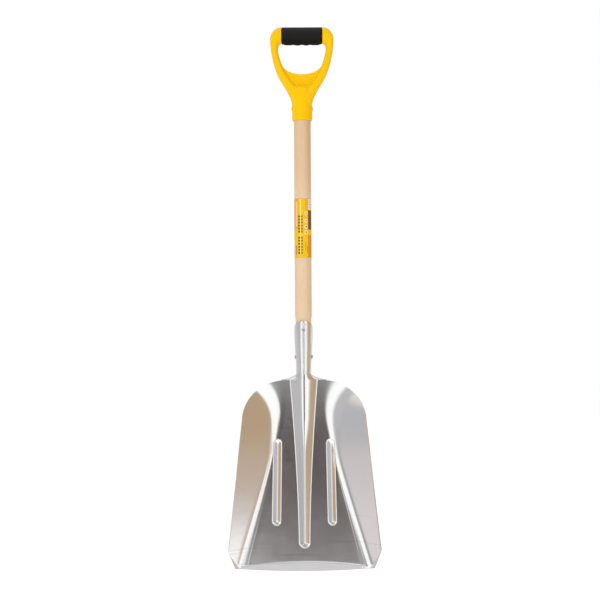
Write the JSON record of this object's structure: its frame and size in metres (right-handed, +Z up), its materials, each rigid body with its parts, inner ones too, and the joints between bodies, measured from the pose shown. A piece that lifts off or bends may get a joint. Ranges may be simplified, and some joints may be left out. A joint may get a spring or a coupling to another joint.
{
  "type": "scoop shovel",
  "caption": "Scoop shovel: pressed aluminium scoop with a rolled socket and raised ridge, round wooden shaft, and a plastic D-handle with a soft grip.",
  "frame": {"origin": "the hang point: the underside of the D-handle's crossbar, over the shaft's axis", "axes": "+Z up along the shaft, from scoop to handle; +X across, along the crossbar; the scoop is open towards -Y"},
  "size_m": [0.326, 0.1018, 1.1807],
  "materials": {
    "aluminium": "smooth pressed sheet with fine rolling lines and light scratches",
    "pale_wood": "clear satin lacquer",
    "label_film": null,
    "yellow_plastic": "moulded, fine satin texture",
    "black_rubber": "soft moulded grip, matt",
    "zinc_steel": "zinc plated"
  },
  "bodies": {
    "root": {"scoop": "aluminium", "wooden_shaft": "pale_wood", "shaft_label": "label_film", "d_handle": "yellow_plastic", "handle_grip": "black_rubber", "socket_rivet": "zinc_steel", "socket_nail": "zinc_steel", "handle_rivet": "zinc_steel"}
  },
  "joints": []
}
